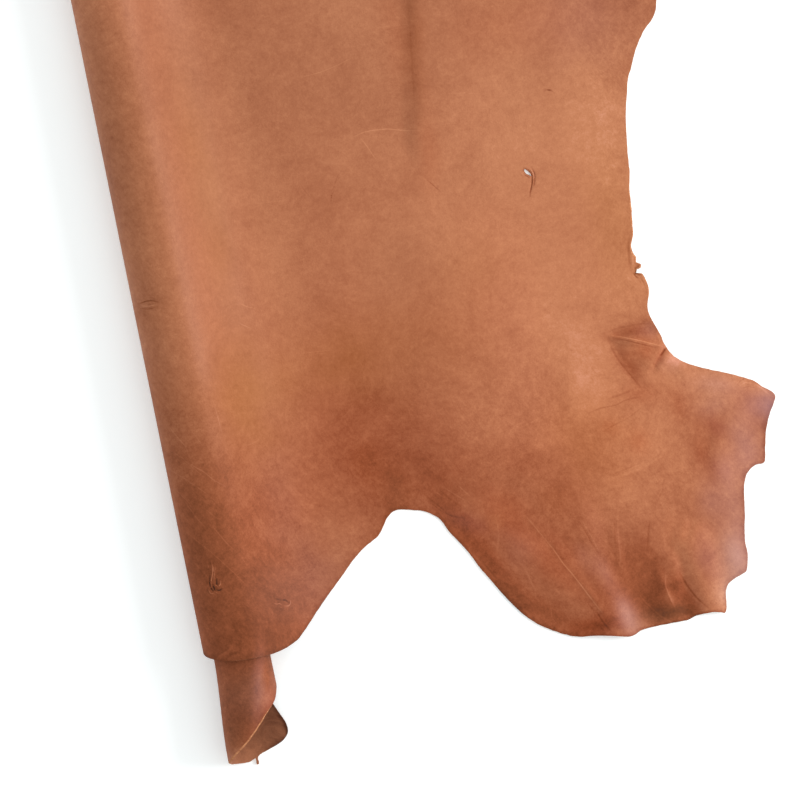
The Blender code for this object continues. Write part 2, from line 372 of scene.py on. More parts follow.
# what the animal's life and the tannery left on the grain, and painted shade and
# highlights along creases, ridges and pits, as seen from above: how much paler or
# darker than its surroundings in hundredths, half its width in mm, its way as
# (across, along) points, and its height in mm if it has one
MARKS = (
    # the slit's raised lip, painted shade in the dark creases round it and along its closed
    # end
    (-70, 1.6, ((512.6, 516.8), (516.0, 514.7), (518.6, 511.0), (519.9, 506.9), (519.3, 501.0),
        (517.7, 495.0), (515.9, 490.9), (513.7, 486.3), (512.4, 481.4)), -0.5),
    (16, 0.8, ((517.1, 515.7), (519.7, 513.1), (521.5, 508.4), (521.1, 502.6)), 0.7),
    (-44, 1.3, ((521.3, 515.8), (522.8, 511.8), (523.3, 506.0), (522.2, 499.8), (520.6, 495.1),
        (518.0, 491.2)), -0.5),
    (-40, 1.2, ((510.8, 508.9), (513.4, 506.3), (516.1, 504.3)), -0.3),
    (14, 0.9, ((507.6, 512.2), (509.1, 508.4)), 0.2),
    # neck wrinkles rubbed pale, running down towards the backbone's cut
    (13, 0.9, ((14, 290), (21, 275), (29, 261), (31, 253))),
    (16, 1, ((28, 240), (46, 224), (55, 212), (68, 201))),
    (11, 0.9, ((4, 238), (20, 222), (41, 200), (54, 183))),
    (9, 0.9, ((8, 262), (22, 248), (34, 231), (48, 214))),
    (16, 0.9, ((16, 191), (27, 167), (34, 156))),
    (19, 1.1, ((43, 155), (54, 134), (61, 123))),
    (16, 1, ((12, 153), (27, 134), (44, 112), (58, 92), (69, 74))),
    (11, 0.9, ((30, 134), (35, 124), (45, 115))),
    (9, 0.9, ((40, 279), (50, 257))),
    (12, 1.2, ((74, 301), (76, 269))),
    (5, 0.9, ((101, 246), (117, 249))),
    (12, 0.9, ((37, 180), (52, 162))),
    (11, 0.9, ((68, 114), (75, 97))),
    (10, 0.9, ((6, 212), (18, 194), (24, 180))),
    (10, 0.9, ((10, 120), (22, 100), (28, 84))),
    # a scar like a lip, on the roll, dark where it sinks: partly its own colour, partly
    # painted shade
    (-34, 1.3, ((9, 446), (16, 447.5), (24, 447), (31, 443.5)), -0.7),
    (30, 1, ((11, 443), (19, 440.5), (28, 441)), 0.6),
    (-20, 1, ((9, 440), (19, 437), (29, 438)), -0.2),
    (5, 1, ((12, 452), (20, 453), (28, 451))),
    # a gnarled scar, and a small one beside it, dark in their pits: partly their own colour,
    # partly painted shade
    (46, 1.1, ((32.3, 112.1), (32.7, 104.3), (29.9, 96.0), (27.2, 88.9), (26.2, 82.7)), 0.6),
    (36, 1, ((35.7, 106.9), (33.9, 100.3), (31.4, 93.1), (30.3, 86.3)), 0.4),
    (34, 1, ((27.2, 111.2), (27.5, 106.7)), 0.3),
    (-72, 1.2, ((26.3, 95.4), (25.0, 88.0), (24.7, 81.2), (27.6, 76.8)), -0.6),
    (-78, 1.3, ((28.6, 84.8), (28.6, 80.4), (30.0, 77.3)), -0.7),
    (-62, 1.1, ((34.5, 90.6), (33.1, 85.1), (34.0, 81.9)), -0.5),
    (46, 1.1, ((31.0, 85.0), (33.5, 80.7), (37.5, 82.7), (38.7, 87.6)), 0.6),
    (-64, 1.2, ((31.7, 78.0), (34.9, 75.3), (38.0, 77.7)), -0.5),
    (38, 1, ((22.2, 80.2), (23.4, 73.8), (27.0, 74.1)), 0.4),
    (36, 1, ((30.0, 75.0), (32.2, 73.3)), 0.4),
    (-44, 1.6, ((108.0, 48.2), (111.8, 48.0), (114.4, 44.4)), -0.5),
    (-30, 1.5, ((100.3, 51.8), (104.5, 49.7)), -0.3),
    (36, 1, ((96.8, 47.2), (100.3, 44.4), (103.6, 45.5), (106.1, 42.7)), 0.4),
    (38, 1, ((117.4, 46.6), (117.8, 42.4), (114.4, 39.3), (110.3, 40.6)), 0.4),
    (22, 0.9, ((102.7, 41.1), (106.1, 38.9)), 0.2),
    # the neck's cut edge, doubled over a little, with a painted highlight on the fold and
    # painted shade below it
    (12, 2.6, ((18, -4), (26, -2), (33, 2), (39, 9)), 1.0),
    (-16, 3, ((28, -7), (35, -4), (43, -4)), -0.8),
    # rubbed streaks on the scroll's end
    (9, 1.2, ((30, -23), (27, -42), (24, -70))),
    (12, 1, ((47, -21), (44, -41))),
    (10, 1, ((56, -27), (55, -43))),
    (7, 1.4, ((37, -29), (33, -64))),
    (10, 1.2, ((70, -41), (68, -58))),
    # hairlines in the leg, and painted highlights and shade on the ridges and troughs of its
    # waves
    (22, 1.1, ((428, 90), (437, 73), (445, 58))),
    (38, 1.2, ((445, 58), (454, 41), (461, 24), (470, 8), (477, -6), (487, -27),
        (497, -47)), 0.1),
    (20, 1.1, ((352, 145), (359, 136), (364, 129))),
    (15, 1, ((333, 147), (347, 134), (358, 124))),
    (14, 0.9, ((324, 142), (331, 134))),
    (13, 1.2, ((496, 69), (503, 48), (509, 28))),
    (-9, 1.2, ((493, 68), (500, 46), (507, 26)), -0.2),
    (10, 1, ((436, -25), (434, -41), (440, -51))),
    (13, 1.6, ((391, 93), (390, 75), (385, 57)), 0.1),
    (12, 1.8, ((414, 24), (417, 11), (421, -4)), 0.1),
    (-16, 1.6, ((315, 130), (325, 118), (337, 109), (349, 104))),
    (-12, 2, ((308, 143), (320, 128), (334, 112))),
    (-10, 1.8, ((330, 141), (342, 127), (352, 117))),
    (-10, 2.2, ((352, 62), (366, 40), (376, 22))),
    (-8, 2, ((384, 50), (396, 30), (404, 12))),
    (-22, 1.6, ((490, -43), (495, -57), (503, -72)), -0.2),
    (-12, 1.4, ((482, -32), (490, -47))),
    (12, 1.4, ((544, -30), (554, -47), (568, -66), (579, -75)), 0.1),
    (11, 1.2, ((540, 69), (536, 43), (533, 12)), 0.1),
    (-9, 1.6, ((535, 63), (530, 33)), -0.2),
    (-11, 1.8, ((579, 56), (573, 38), (568, 20)), -0.2),
    (20, 1.4, ((585, -14), (581, -29), (584, -45), (587, -57)), 0.3),
    (-24, 1.8, ((602, -18), (608, -35), (617, -53), (628, -67)), -0.3),
    (-9, 1.6, ((606, 103), (601, 87), (588, 71))),
    # creases that run out from the popped dent, with painted shade in them and a painted
    # highlight on one ridge
    (-19, 1.2, ((529, 201), (545, 204), (566, 204), (579, 208), (598, 208)), -0.2),
    (-10, 1.2, ((543, 175), (555, 179), (577, 185), (601, 197)), -0.2),
    (9, 2.4, ((534, 115), (559, 117), (586, 121), (607, 130), (619, 142)), 0.3),
    (-7, 1.4, ((537, 119), (562, 123), (581, 127))),
    # the torn edge: painted shade where the grain thins out, the pale fibres beside it, and
    # painted shade round the lobe
    (-28, 2.6, ((624.1, 407.7), (620.4, 395.7), (618.4, 380.8), (617.4, 365.7)), -0.3),
    (18, 1.4, ((623.6, 386.1), (621.8, 375.0), (620.3, 366.4)), 0.2),
    (-52, 1.5, ((619.9, 362.0), (621.2, 357.0), (624.9, 353.7)), -0.4),
    (-20, 1.3, ((627.0, 355.5), (629.7, 348.5), (631.3, 338.7)), -0.2),
    # little folds at the leg's corner, with painted shade and painted highlights on their
    # sides
    (-22, 1, ((719, 199), (726, 204), (734, 204), (740, 198)), -0.2),
    (-16, 1, ((723, 193), (732, 194), (741, 190)), -0.2),
    (16, 1, ((721, 196), (729, 200), (738, 196)), 0.2),
    (24, 1.6, ((741, 195), (749, 188), (756, 178))),
    # barbed wire and thorn scratches, healed pale, and two darker ones
    (23, 1.1, ((309, 597), (316, 599), (324, 601), (336, 601), (355, 599), (371, 594),
        (391, 589))),
    (17, 1, ((319, 595), (324, 585), (329, 573), (334, 562))),
    (-15, 1.2, ((289, 561), (281, 553), (275, 542), (270, 536))),
    (-42, 1.5, ((270, 533), (268, 530), (268, 526)), -0.2),
    (8, 0.9, ((175, 540), (192, 539), (217, 536))),
    (-12, 1, ((235, 549), (242, 536))),
    (12, 0.9, ((196, 345), (211, 344), (230, 342))),
    (10, 0.9, ((426, 213), (442, 200), (462, 205), (473, 210))),
    (-14, 2.2, ((555, 213), (568, 215), (584, 217), (594, 220)), -0.2),
    (-11, 0.9, ((287, 558), (276, 541), (268, 528))),
    (-26, 1, ((390, 527), (397, 518), (403, 510)), -0.1),
    (10, 0.9, ((337, 544), (341, 531))),
    (20, 0.9, ((131, 421), (138, 416), (145, 413))),
    (22, 0.9, ((125, 397), (131, 393), (136, 389))),
    (8, 0.9, ((200, 343), (225, 339))),
    (15, 1, ((264, 684), (286, 685), (307, 689), (329, 695))),
    (9, 0.9, ((370, 725), (410, 722))),
    (15, 1.1, ((165, 662), (169, 658))),
    (-52, 1.6, ((559, 607), (562, 607), (565, 605)), -0.2),
    (-12, 1.3, ((639, 680), (641, 678))),
    (-12, 1.3, ((594, 695), (596, 694))),
    (-10, 1.2, ((519, 700), (521, 698))),
    # long faint scratches on the shoulder, and painted shade along the crease at the foot of
    # the long fold
    (9, 0.9, ((368, 725), (386, 725), (405, 724))),
    (-6, 1, ((375, 721), (395, 721))),
    (8, 0.9, ((437, 627), (458, 624), (479, 618))),
    (8, 0.9, ((367, 639), (380, 633))),
    (-7, 1, ((467, 738), (468, 723), (466, 706))),
    (-6, 1.6, ((412, 757), (408, 727), (404, 696), (398, 653), (391, 606))),
    # the popped dent: a painted highlight on its sharp ridge and painted shade in the creases
    # round it
    (34, 1.1, ((578, 290), (592, 285), (611, 277), (625, 270), (634, 266)), 0.5),
    (-25, 1.2, ((580, 286), (594, 281), (610, 273), (628, 265)), -0.3),
    (-12, 1.8, ((571, 295), (581, 297), (592, 298), (609, 298), (625, 296)), -0.2),
    (-20, 1.9, ((573, 285), (575, 272), (580, 258), (587, 244), (596, 228), (601, 217)), -0.3),
    (-50, 2, ((641, 262), (637, 258), (632, 253)), -0.5),
    (-14, 2.2, ((631, 252), (627, 247), (623, 240)), -0.3),
    (14, 1, ((633, 282), (635, 274), (635, 268)), 0.1),
    (-8, 1.2, ((605, 246), (616, 250))),
)
MARK_STEP = 2.4

# how the wax lies, with painted shade and painted highlights laid in with it, as
# seen from above: middle and reach of a soft patch in mm, how much paler or darker
# in hundredths, how much redder, how much whitish wax has bloomed out or painted
# sheen shows (below 0 a painted golden highlight), up to 10, and its turn in
# degrees; a row leaves off the zeros at its end
PATCHES = (
    # the neck is darker down to the throat: partly the wax's own tone, partly painted shade on
    # the roll's ramp at the neck end
    (60, 40, 95, 195, -39), (40, 230, 60, 60, -5), (24, 150, 26, 60, -5),
    (24, 190, 26, 50, -9), (16, 290, 24, 60, -6), (28, 120, 26, 30, -4),
    (15, 320, 26, 40, -8), (60, 308, 28, 26, -8), (18, 428, 30, 24, -13),
    (10, 366, 20, 30, -8), (205, 105, 28, 38, 9), (132, 80, 30, 34, -5),
    (106, 36, 34, 34, -3, 0, 0, -30), (96, -2, 24, 20, -10),
    (160, 62, 40, 50, -4, 0, 1.2, -30), (190, 112, 24, 40, 8), (124, 34, 20, 24, 5),
    (172, 96, 30, 34, 5), (118, 64, 50, 46, -6, -1, 0.8), (120, 132, 28, 22, 6),
    (145, 168, 50, 44, 3, 0.6), (175, 165, 30, 24, 4), (22, 120, 36, 110, -4),
    (40, 480, 50, 330, -2), (195, 265, 34, 26, 5), (262, 190, 75, 95, -22, 0.6),
    (240, 197, 20, 24, -16), (275, 148, 20, 34, -23, -0.6), (300, 136, 15, 16, 8),
    (240, 105, 16, 16, -8), (300, 264, 60, 30, -8, 0, 0, -15), (236, 300, 40, 60, -6),
    (248, 330, 44, 30, -5), (118, 355, 30, 40, -7), (130, 460, 26, 70, -5),
    (130, 260, 24, 50, -6), (200, 250, 50, 110, 0, 1.2), (330, 235, 70, 60, 0, 0.8),
    (325, 345, 110, 56, 0, 0.8), (395, 165, 60, 34, 0, 0.8), (262, 330, 22, 18, -8),
    (240, 322, 48, 22, -4), (150, 252, 16, 20, -6), (150, 378, 30, 24, -4),
    (325, 208, 50, 16, 4),
    # a painted golden highlight, along the roll's crest and on slopes turned to the light
    (112, 302, 40, 72, -9, 0, -5), (45, 520, 40, 330, 0, 0, -1.1),
    (435, 414, 50, 40, 0, 0, -1.3), (118, 560, 26, 190, -6, 0, -4),
    (525, 165, 60, 70, 0, 1.3, -2.5), (611, 430, 36, 110, 0, 0, -3),
    (330, 330, 90, 60, 0, 0, -1.5), (240, 330, 60, 50, 0, 0, -2.5),
    (162, 317, 26, 34, 0, 0, -2),
    # the leg's dark underside, redder further in: partly its own tone, partly painted shade
    # where it slopes down to the edge away from the light; painted shade and painted sheen on
    # the sides of its waves
    (436, 45, 22, 110, 0, 2.2, 0, 34), (359, 96, 34, 11, -17, 0.5, 1.2, -33),
    (390, 92, 8, 16, 12, 0, -1, -40), (374, 72, 20, 18, -8),
    (362, 60, 15, 60, -10, 0.6, 0, 32), (362, 30, 9, 20, 10, 0, 0, 30),
    (392, 112, 30, 18, 0, 0.6, 0, -20), (344, 92, 15, 40, -24, 0, 0, 30),
    (396, 46, 14, 34, -9, 0, 0, 30), (392, 84, 40, 40, 0, 0.8), (334, 140, 34, 26, -10),
    (485, 100, 44, 30, -8), (371, 38, 13, 30, -30, 0, 0, 30),
    (392, -4, 18, 30, -32, 0, 0, 34), (426, -33, 16, 36, -28, 0, 0, 55),
    (482, -62, 34, 12, -38, 1.5, 0, -6), (524, -66, 26, 14, -12, 0, 1),
    (430, -8, 40, 26, -6, 0, 0, -30), (514, -28, 24, 22, -16), (532, -40, 14, 14, -5),
    (550, -10, 48, 48, -11), (436, 30, 18, 44, 5, 0, 0, 34), (465, 70, 75, 110, -12),
    (438, 50, 14, 44, 5, 0, 0, 32), (548, -48, 16, 18, -11), (508, -71, 14, 11, 14),
    (475, 36, 44, 50, -10), (476, 38, 18, 20, -4), (375, 108, 14, 14, 7),
    (520, 26, 22, 22, -5), (452, -38, 22, 12, -5, 0, 0, -30), (440, 98, 34, 20, -4),
    (601, 48, 14, 20, 6), (410, 140, 70, 32, -6, 0, 0, 20), (345, 165, 40, 35, -8),
    (470, 95, 26, 34, -5), (472, 205, 34, 22, -6), (412, 52, 20, 26, 5, 0, 1, 20),
    (552, -2, 30, 40, -18), (572, 46, 34, 44, -8), (566, -36, 16, 24, -26),
    (582, -66, 28, 12, -50, -2, 0, -6), (592, -30, 16, 14, -13),
    (542, -68, 20, 14, 0, -1.5), (596, -24, 14, 18, -12),
    (602, -52, 11, 26, -32, 0.5, 0, 12), (562, -60, 14, 20, -10),
    (527, -57, 11, 27, 18, 0, 4.5, 9), (508, 4, 10, 28, 9, 0, 1.5, 14),
    (488, 26, 9, 22, 4, 0, 1, 14), (455, 150, 40, 30, -6), (600, 88, 22, 22, -7),
    (738, 148, 12, 16, -8), (652, 130, 11, 22, -6), (642, 188, 10, 19, -11, 1),
    (682, 154, 11, 16, -24, 1.5, 1, 28), (664, 146, 14, 30, -2, 0.5),
    (660, 122, 10, 18, -17, 0.8), (668, 100, 9, 16, -6, 0.8), (545, 148, 24, 46, 5),
    (700, 202, 30, 10, 0, 0, 2, -22), (684, 178, 20, 12, 6, 0, 2),
    (656, 62, 14, 20, -8, 0, 2), (638, -6, 13, 22, -22, 0, 2), (639, 30, 12, 20, -6),
    (668, 92, 30, 12, -6, 0, 0, -10), (684, 24, 10, 22, -8), (584, 154, 12, 14, -8, 1.4),
    (553, 178, 10, 8, -9, 1), (722, 150, 34, 30, -4),
    # the popped dent: painted shade, dark and red, on the sides that lie from the light, and
    # painted highlights on the sides turned to it
    (588, 291, 18, 6, -14, 1, 0, 4), (628, 224, 26, 12, 10, 0, 0, -10),
    (578, 292, 16, 14, 4), (612, 289, 20, 11, -20, 0.4, 1, -4),
    (628, 290, 12, 11, -11, -0.5, 1.5), (600, 262, 20, 17, -4, 1.2),
    (582, 268, 9, 18, -16, 0.5, 0, 14), (592, 246, 8, 20, -15, 0.5, 0, 22),
    (598, 236, 8, 16, -9, 0.3, 0, 24), (616, 262, 16, 10, -7, 1),
    (633, 252, 5, 10, -10, 1.5, 0, -30), (649, 244, 12, 9, 30, 1, 0.5, -20),
    (600, 212, 26, 12, -6, 1, 0, -10),
    # paler shoulder and flank, where the wax pulls up; a painted highlight along the roll's
    # foot, and painted shade along the long fold's crease
    (560, 490, 150, 210, 12), (305, 405, 40, 45, 7), (172, 720, 20, 50, 6),
    (112, 630, 22, 34, -6), (360, 520, 30, 14, -6), (300, 515, 110, 34, -6),
    (372, 525, 20, 30, -7), (212, 610, 26, 24, -6), (18, 515, 28, 26, -5),
    (440, 262, 22, 24, 6), (402, 352, 28, 26, -5), (508, 405, 26, 24, -4),
    (552, 440, 20, 24, -4), (480, 705, 40, 30, -5), (435, 435, 60, 45, -5),
    (475, 265, 30, 80, -3), (600, 545, 45, 60, 11), (505, 560, 24, 30, 3),
    (470, 555, 24, 20, 4), (520, 590, 45, 80, 4), (370, 470, 110, 110, 8),
    (395, 495, 32, 46, 5), (498, 520, 36, 50, 5), (530, 290, 55, 110, 13),
    (545, 246, 34, 40, 15), (600, 350, 34, 40, 11), (625, 452, 16, 26, 7),
    (345, 745, 35, 60, 9), (150, 745, 140, 80, -3), (440, 640, 60, 50, -4),
    (325, 582, 44, 22, 6), (183, 480, 38, 130, 14), (170, 660, 25, 90, 5),
    (60, 690, 70, 130, -9), (35, 540, 45, 55, -5), (550, 640, 32, 60, -5),
    (562, 598, 20, 20, -5), (440, 748, 60, 14, -6), (112, 490, 18, 30, -5),
    (655, 700, 44, 36, -13), (620, 690, 60, 60, 0, 0, 1.5), (650, 655, 30, 30, -5),
    (560, 700, 90, 50, 0, 1.1), (392, 705, 20, 70, 0, 1), (45, 622, 20, 44, 5),
    (320, 675, 60, 36, -6), (235, 545, 40, 40, -4), (408, 700, 11, 80, -10, 1, -1, -9),
    (400, 560, 12, 50, -5, 1, 0, -9),
    # less red up the back and on the roll
    (350, 720, 560, 240, 0, -1.3), (10, 450, 60, 420, 0, -1.5),
    # the rim of the leg, rubbed and bloomed, with painted sheen where it tilts up to the light
    (690, 202, 30, 22, 22, 0, 2, -22), (702, 214, 26, 8, 10, 0, 0, -22),
    (744, 191, 24, 9, 22, 0, 0, -30), (752, 184, 12, 12, 5, 0, 2),
    (684, 100, 12, 22, 8, 1.2, 3), (645, 243, 16, 14, 8, 0, 2), (600, 308, 24, 8, 4),
    (746, 168, 22, 20, 1, 1, 6), (756, 160, 12, 22, -8, 0, 5, -20),
    (715, 118, 20, 42, 3, 0, 5), (686, 46, 26, 54, 4, 0, 4), (682, -14, 16, 32, 29, 0, 7),
    (668, -22, 16, 38, 0, -1.5, 4), (657, -54, 18, 22, 22, -2, 3), (598, 140, 30, 60, 8),
    (556, 105, 34, 34, 9), (607, 25, 14, 22, 11, 1.3),
    # the scroll's end, seen inside the roll, with painted highlights, lilac and orange, on its
    # lit side
    (55, -60, 50, 35, -6, -2, 1), (58, -52, 7, 40, 12, 0.5, 3.2, -14),
    (68, -45, 4.5, 15, 10, 0.5, -2, -12), (68, -58, 8, 30, 2, 1, 0.6, -12),
    (30, 4, 30, 12, -5), (62, -71, 11, 13, 22, 0.5, 0, -30), (18, -75, 13, 60, -8),
    (15, -113, 22, 24, -5, -2), (44, -92, 14, 34, -4), (46, -98, 16, 24, 6, 0, 0, -36),
    (44, -133, 34, 12, 26), (64, -84, 18, 26, 0, 2), (30, -88, 20, 30, -20, 0, 0, -10),
    (86, -82, 13, 28, -22),
    # the butt, out of the photograph: as even as the back usually is
    (250, 1500, 260, 420, 4), (660, 1650, 110, 150, -10, 2, 2),
    (120, 1900, 160, 110, -7, 1),
)


def wax_and_painted_light(seen):
    """Wax tone, redness and bloom, with painted shade, highlights and sheen, seen from above.
    """
    across, along = seen.T
    wave_across = slow_waves(across, along, 21, 60.0)
    wave_along = slow_waves(across, along, 22, 60.0)
    total = np.zeros((3, len(seen)))
    for middle_across, middle_along, reach, reach_along, *rest in PATCHES:
        *amounts, turn = rest + [0.0] * (4 - len(rest))
        cos, sin = math.cos(math.radians(turn)), math.sin(math.radians(turn))
        uneven = 0.12 * min(reach, reach_along, 50.0)
        right = across + uneven * wave_across - middle_across
        up = along + uneven * wave_along - middle_along
        fade = np.exp(-((right * cos + up * sin) / reach) ** 2
                      - ((up * cos - right * sin) / reach_along) ** 2)
        total += np.array(amounts)[:, None] * fade
    return total


# regions meshed alike, as left, right, low, high, and the steps across and
# along: the roll, the shoulder and the butt, then the dent and the leg's waves
ZONES = (
    (-380, 196, -160, 860, 6.4, 7.0),
    (196, 790, -160, 860, 6.6, 5.8),
    (-380, 196, 860, 1990, 6.4, 17.0),
    (196, 830, 860, 1990, 14.0, 12.5),
)
FINE_ZONES = (
    (566, 662, 214, 306, 3.0, 2.6),
    (484, 652, -84, 70, 4.0, 3.5),
    (505, 530, 476, 522, 1.8, 1.6),
)
EDGE_STEP = 3.0
EDGE_UNEVEN = 0.15
flat_edge = ragged(curved(BELLY_EDGE + FRONT_LEG + THROAT + NECK_EDGE + BUTT_EDGE
                          + HIND_LEG, EDGE_STEP), EDGE_UNEVEN)
slit_edge = curved(SLIT, 9.0)
filling = np.vstack([spread_points(*zone) for zone in ZONES])
for left, right, low, high, across_step, along_step in FINE_ZONES:
    covered = ((filling[:, 0] > left) & (filling[:, 0] < right)
               & (filling[:, 1] > low) & (filling[:, 1] < high))
    filling = np.vstack((filling[~covered],
                         spread_points(left, right, low, high, across_step, along_step)))

# each mark gets three rows of points: its middle, and where it ends
mark_points, mark_tones, mark_lifts = [], [], []
for tone, half_width, way, *height in MARKS:
    lift = height[0] if height else 0.0
    way = on_the_flat(way)
    reach = np.concatenate(((0.0,), np.cumsum(np.hypot(*np.diff(way, axis=0).T))))
    count = max(3, round(reach[-1] / MARK_STEP) + 1)
    at = np.linspace(0.0, reach[-1], count)
    middle = np.column_stack((np.interp(at, reach, way[:, 0]),
                              np.interp(at, reach, way[:, 1])))
    middle[1:-1] = (middle[:-2] + 2.0 * middle[1:-1] + middle[2:]) / 4.0
    side = np.gradient(middle, axis=0)
    side = half_width * np.column_stack((side[:, 1], -side[:, 0])) / np.hypot(
        *side.T)[:, None]
    strength = np.minimum(1.0, 0.35 + 2.6 * np.minimum(at, reach[-1] - at) / reach[-1])
    for points, share in ((middle, strength), (middle + side, 0.0 * strength),
                          (middle - side, 0.0 * strength)):
        mark_points.append(points)
        mark_tones.append(tone * share)
        mark_lifts.append(lift * share)
mark_points = np.vstack(mark_points)
mark_tones, mark_lifts = np.concatenate(mark_tones), np.concatenate(mark_lifts)


def clear_of(points, others, gap):
    """Which points lie further than a gap from all the others."""
    kept = np.ones(len(points), bool)
    for x, y in others:
        kept &= (points[:, 0] - x) ** 2 + (points[:, 1] - y) ** 2 > gap * gap
    return kept


filling = filling[inside(filling, flat_edge)]
filling = filling[clear_of(filling, flat_edge, 3.0) & clear_of(filling, slit_edge, 1.3)
                  & clear_of(filling, mark_points[mark_tones != 0.0], 2.6)]
kept = (inside(mark_points, flat_edge) & clear_of(mark_points, flat_edge, 2.0)
        & clear_of(mark_points, slit_edge, 0.5))
mark_points, mark_tones, mark_lifts = mark_points[kept], mark_tones[kept], mark_lifts[kept]

edge_count, slit_count = len(flat_edge), len(slit_edge)
seeds = np.vstack((flat_edge, slit_edge, mark_points, filling))
rim = [(i, (i + 1) % edge_count) for i in range(edge_count)]
rim += [(edge_count + i, edge_count + (i + 1) % slit_count) for i in range(slit_count)]
found = geometry.delaunay_2d_cdt([Vector(point) for point in seeds], rim, [], 1, 1e-5)
flat_points = np.array([tuple(point) for point in found[0]])
origins = np.array([sources[0] if sources else -1 for sources in found[3]])
triangles = np.array([tuple(face) for face in found[2]])
middles = flat_points[triangles].mean(axis=1)
triangles = triangles[inside(middles, flat_edge) & ~inside(middles, slit_edge)]
corner = flat_points[triangles]
first, second = corner[:, 1] - corner[:, 0], corner[:, 2] - corner[:, 0]
turned = first[:, 0] * second[:, 1] - first[:, 1] * second[:, 0] < 0
triangles[turned] = triangles[turned][:, ::-1]
count = len(flat_points)

# the marks' own tone and height, at the points that draw them
own_tone, own_lift = np.zeros(count), np.zeros(count)
first_mark = edge_count + slit_count
is_mark = (origins >= first_mark) & (origins < first_mark + len(mark_points))
own_tone[is_mark] = mark_tones[origins[is_mark] - first_mark]
own_lift[is_mark] = mark_lifts[origins[is_mark] - first_mark]

# the cut edge of neck and leg is darker, on the scroll only its short end: how
# much darker, and from where to where across it comes in; the slit's lips and the
# tear's notch get painted shade
EDGE_DARKENED = ((16.0, -120.0, -60.0), (14.0, 300.0, 340.0), (50.0, -325.0, -340.0))
EDGE_DARKENED_ALONG = (190.0, 140.0)
SLIT_SHADE = 34.0
NOTCH = (624.0, 362.0)
NOTCH_REACH = 9.0
NOTCH_SHADE = 75.0
on_cut = (origins >= 0) & (origins < edge_count)
edge_darkening = sum(darker * smooth_step(low, high, flat_points[:, 0])
                for darker, low, high in EDGE_DARKENED)
own_tone[on_cut] -= (edge_darkening * smooth_step(*EDGE_DARKENED_ALONG, flat_points[:, 1]))[on_cut]
# painted shade along the slit's lips and round the tear's notch
own_tone[(origins >= edge_count) & (origins < first_mark)] = -SLIT_SHADE
notch = np.exp(-(np.hypot(*(flat_points - NOTCH).T) / NOTCH_REACH) ** 2)
own_tone[on_cut] -= NOTCH_SHADE * notch[on_cut]

# the knife leans, so that a hair of raw edge shows from above, more at the neck,
# and most where the belly edge is torn and the grain has come away: how many mm,
# and from where to where each comes in
KNIFE_LEAN, NECK_LEAN, TORN_LEAN, LEAN_LIMITS = 0.25, 1.2, 1.0, (0.2, 2.2)
NECK_ACROSS, NECK_ALONG = (-30.0, -100.0), (10.0, -20.0)
TORN_ACROSS, TORN_FROM, TORN_TO = (612.0, 622.0), (318.0, 345.0), (520.0, 430.0)
edges = np.vstack([triangles[:, (i, (i + 1) % 3)] for i in range(3)])
keys = edges.min(axis=1) * count + edges.max(axis=1)
_, place, times = np.unique(keys, return_index=True, return_counts=True)
rim_edges = edges[place[times == 1]]
outwards = np.zeros((count, 2))
way = flat_points[rim_edges[:, 1]] - flat_points[rim_edges[:, 0]]
for end in (0, 1):
    np.add.at(outwards, rim_edges[:, end], np.column_stack((way[:, 1], -way[:, 0])))
length = np.hypot(*outwards.T)
outwards[length > 0] /= length[length > 0][:, None]
across, along = flat_points.T
torn = (smooth_step(*TORN_ACROSS, across) * smooth_step(*TORN_FROM, along)
        * smooth_step(*TORN_TO, along))
neck_cut = smooth_step(*NECK_ALONG, along) * smooth_step(*NECK_ACROSS, across)
lean = (KNIFE_LEAN + NECK_LEAN * neck_cut
        + torn * (TORN_LEAN + 0.8 * slow_waves(across, along, 31, 14.0)))
grain_points = flat_points - outwards * np.clip(lean, *LEAN_LIMITS)[:, None]

grain_side = lay_down(grain_points, THICKNESS / 2 + own_lift)
flesh_side = lay_down(flat_points, -THICKNESS / 2)
rim_faces = np.column_stack((rim_edges + count, rim_edges[:, ::-1]))
leather_mesh = bpy.data.meshes.new("leather")
leather_mesh.from_pydata((np.vstack((grain_side, flesh_side)) * MM).tolist(), [],
                         triangles.tolist() + (triangles[:, ::-1] + count).tolist()
                         + rim_faces.tolist())
leather = bpy.data.objects.new("leather", leather_mesh)
bpy.context.scene.collection.objects.link(leather)
sides = np.repeat((0, 1, 2), (len(triangles), len(triangles), len(rim_faces)))
leather_mesh.polygons.foreach_set("material_index", sides.astype(np.int32))

# the flat pattern in metres, which every finish below is drawn on, the wax with
# its painted shade, highlights and sheen, and where the grain is loose, on neck,
# belly and roll
LOOSE_NECK, LOOSE_BELLY, LOOSE_ROLL = (400.0, 180.0), (560.0, 640.0), (90.0, 30.0)
pattern = leather_mesh.uv_layers.new(name="flat_pattern")
loops = np.empty(len(leather_mesh.loops), np.int32)
leather_mesh.loops.foreach_get("vertex_index", loops)
pattern.data.foreach_set("uv", (flat_points[loops % count] * MM).astype(np.float32).ravel())
seen = lay_down(flat_points, 0.0)[:, :2] + (MIDDLE_ACROSS, MIDDLE_ALONG)
tone, redness, bloom_and_sheen = wax_and_painted_light(seen)
loose = (smooth_step(*LOOSE_NECK, seen[:, 1]) + smooth_step(*LOOSE_BELLY, seen[:, 0])
         + smooth_step(*LOOSE_ROLL, seen[:, 0])).clip(0.0, 1.0)
# tone with painted shade and highlights, redness, bloom with painted sheen, and looseness
wax_tone_and_light = np.column_stack(((tone + own_tone) / 100.0, redness / 10.0, bloom_and_sheen / 10.0, loose))
layer = leather_mesh.attributes.new("wax_tone_and_light", "FLOAT_COLOR", "POINT")
layer.data.foreach_set("color", np.vstack((wax_tone_and_light, wax_tone_and_light)).astype(np.float32).ravel())

for cad_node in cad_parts.values():
    cad_node.select_set(False)
bpy.context.view_layer.objects.active = leather
leather.select_set(True)
bpy.ops.object.shade_smooth_by_angle(angle=math.radians(40))


